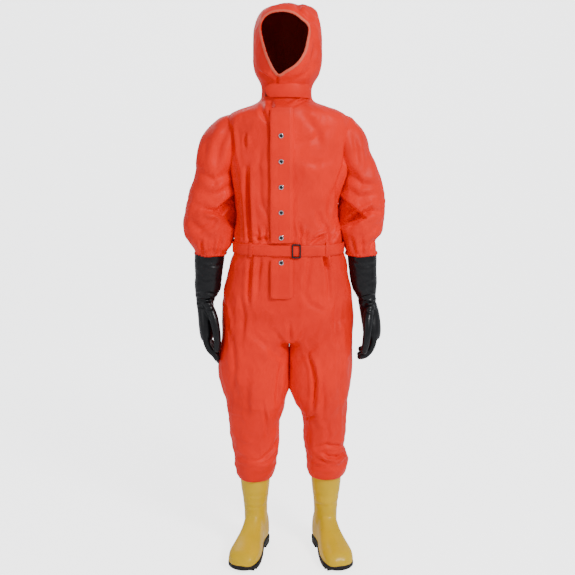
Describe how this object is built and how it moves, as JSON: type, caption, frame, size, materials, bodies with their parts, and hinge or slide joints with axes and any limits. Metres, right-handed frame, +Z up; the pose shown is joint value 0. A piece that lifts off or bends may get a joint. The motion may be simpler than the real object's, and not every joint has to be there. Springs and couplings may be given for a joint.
{
  "type": "chemical protective suit",
  "caption": "Hooded one-piece chemical protective suit with belt, snap flap, integral gloves and rubber boots.",
  "frame": {"origin": "on the floor, under the middle of the suit's bounding box", "axes": "+Z up, -Y towards the suit's front, -X towards the wearer's right side"},
  "size_m": [0.631, 0.308, 1.77],
  "materials": {
    "suit_fabric": "satin PVC-coated woven fabric",
    "trim_fabric": "coated webbing and bias binding",
    "zip_tape": "woven tape with moulded teeth",
    "zip_metal": "polished",
    "snap_nickel": "polished nickel",
    "buckle_plastic": "moulded",
    "glove_rubber": "satin",
    "boot_rubber": "gloss",
    "sole_rubber": "matte"
  },
  "bodies": {
    "torso": {"torso_front_right": "suit_fabric", "torso_front_left": "suit_fabric", "torso_back": "suit_fabric", "zip_tape_right": "zip_tape", "zip_tape_left": "zip_tape", "flap_seam": "suit_fabric", "front_flap_lower": "suit_fabric", "snap_cap_6": "snap_nickel", "snap_stud_1": "snap_nickel", "snap_stud_2": "snap_nickel", "snap_stud_3": "snap_nickel", "snap_stud_4": "snap_nickel", "snap_stud_5": "snap_nickel", "waist_belt": "trim_fabric", "belt_loop_right": "trim_fabric", "belt_loop_left": "trim_fabric"},
    "front_flap": {"front_flap": "suit_fabric", "snap_cap_1": "snap_nickel", "snap_cap_2": "snap_nickel", "snap_cap_3": "snap_nickel", "snap_cap_4": "snap_nickel", "snap_cap_5": "snap_nickel"},
    "zip_slider": {"zip_slider": "zip_metal", "zip_pull": "zip_metal"},
    "buckle": {"belt_buckle": "buckle_plastic"},
    "hood": {"hood": "suit_fabric", "face_edging": "trim_fabric", "tab_fastener": "trim_fabric"},
    "throat_tab": {"throat_tab": "suit_fabric"},
    "upper_arm_right": {"upper_sleeve_right": "suit_fabric"},
    "forearm_right": {"forearm_sleeve_right": "suit_fabric", "cuff_elastic_right": "trim_fabric", "glove_gauntlet_right": "glove_rubber"},
    "hand_right": {"glove_hand_right": "glove_rubber"},
    "thigh_right": {"trouser_thigh_right": "suit_fabric"},
    "shin_right": {"trouser_shin_right": "suit_fabric", "hem_elastic_right": "trim_fabric", "boot_upper_right": "boot_rubber", "boot_sole_right": "sole_rubber", "boot_heel_right": "sole_rubber"},
    "upper_arm_left": {"upper_sleeve_left": "suit_fabric"},
    "forearm_left": {"forearm_sleeve_left": "suit_fabric", "cuff_elastic_left": "trim_fabric", "glove_gauntlet_left": "glove_rubber"},
    "hand_left": {"glove_hand_left": "glove_rubber"},
    "thigh_left": {"trouser_thigh_left": "suit_fabric"},
    "shin_left": {"trouser_shin_left": "suit_fabric", "hem_elastic_left": "trim_fabric", "boot_upper_left": "boot_rubber", "boot_sole_left": "sole_rubber", "boot_heel_left": "sole_rubber"}
  },
  "joints": [
    {"name": "flap_open", "type": "hinge", "parent": "torso", "child": "front_flap", "pos_m": [0.0255, -0.10333, 1.25], "axis": [0, 0, 1], "range_deg": [0, 110]},
    {"name": "zip_slide", "type": "slide", "parent": "torso", "child": "zip_slider", "axis": [0, 0, -1], "range_m": [0, 0.33]},
    {"name": "buckle_slide", "type": "slide", "parent": "torso", "child": "buckle", "axis": [1, 0, 0], "range_m": [-0.015, 0.015]},
    {"name": "hood_turn", "type": "hinge", "parent": "torso", "child": "hood", "pos_m": [0.0055, 0.03197, 1.5], "axis": [0, 0, 1], "range_deg": [-30, 30]},
    {"name": "tab_open", "type": "hinge", "parent": "hood", "child": "throat_tab", "pos_m": [0.0758, -0.00783, 1.507], "axis": [0, 0, 1], "range_deg": [0, 100]},
    {"name": "shoulder_right", "type": "hinge", "parent": "torso", "child": "upper_arm_right", "pos_m": [-0.1835, 0.02897, 1.372], "axis": [-1, 0, 0], "range_deg": [-30, 90]},
    {"name": "elbow_right", "type": "hinge", "parent": "upper_arm_right", "child": "forearm_right", "pos_m": [-0.2335, 0.02897, 1.175], "axis": [-1, 0, 0], "range_deg": [0, 90]},
    {"name": "wrist_right", "type": "hinge", "parent": "forearm_right", "child": "hand_right", "pos_m": [-0.2505, 0.02397, 0.85], "axis": [1, 0, 0], "range_deg": [-22, 22]},
    {"name": "hip_right", "type": "hinge", "parent": "torso", "child": "thigh_right", "pos_m": [-0.0965, 0.02397, 0.83], "axis": [-1, 0, 0], "range_deg": [0, 60]},
    {"name": "knee_right", "type": "hinge", "parent": "thigh_right", "child": "shin_right", "pos_m": [-0.0945, 0.02397, 0.505], "axis": [1, 0, 0], "range_deg": [0, 75]},
    {"name": "shoulder_left", "type": "hinge", "parent": "torso", "child": "upper_arm_left", "pos_m": [0.1975, 0.02897, 1.372], "axis": [-1, 0, 0], "range_deg": [-30, 90]},
    {"name": "elbow_left", "type": "hinge", "parent": "upper_arm_left", "child": "forearm_left", "pos_m": [0.2515, 0.02897, 1.175], "axis": [-1, 0, 0], "range_deg": [0, 90]},
    {"name": "wrist_left", "type": "hinge", "parent": "forearm_left", "child": "hand_left", "pos_m": [0.2625, 0.02397, 0.855], "axis": [1, 0, 0], "range_deg": [-22, 22]},
    {"name": "hip_left", "type": "hinge", "parent": "torso", "child": "thigh_left", "pos_m": [0.1195, 0.02397, 0.83], "axis": [-1, 0, 0], "range_deg": [0, 60]},
    {"name": "knee_left", "type": "hinge", "parent": "thigh_left", "child": "shin_left", "pos_m": [0.1165, 0.02397, 0.515], "axis": [1, 0, 0], "range_deg": [0, 75]}
  ]
}
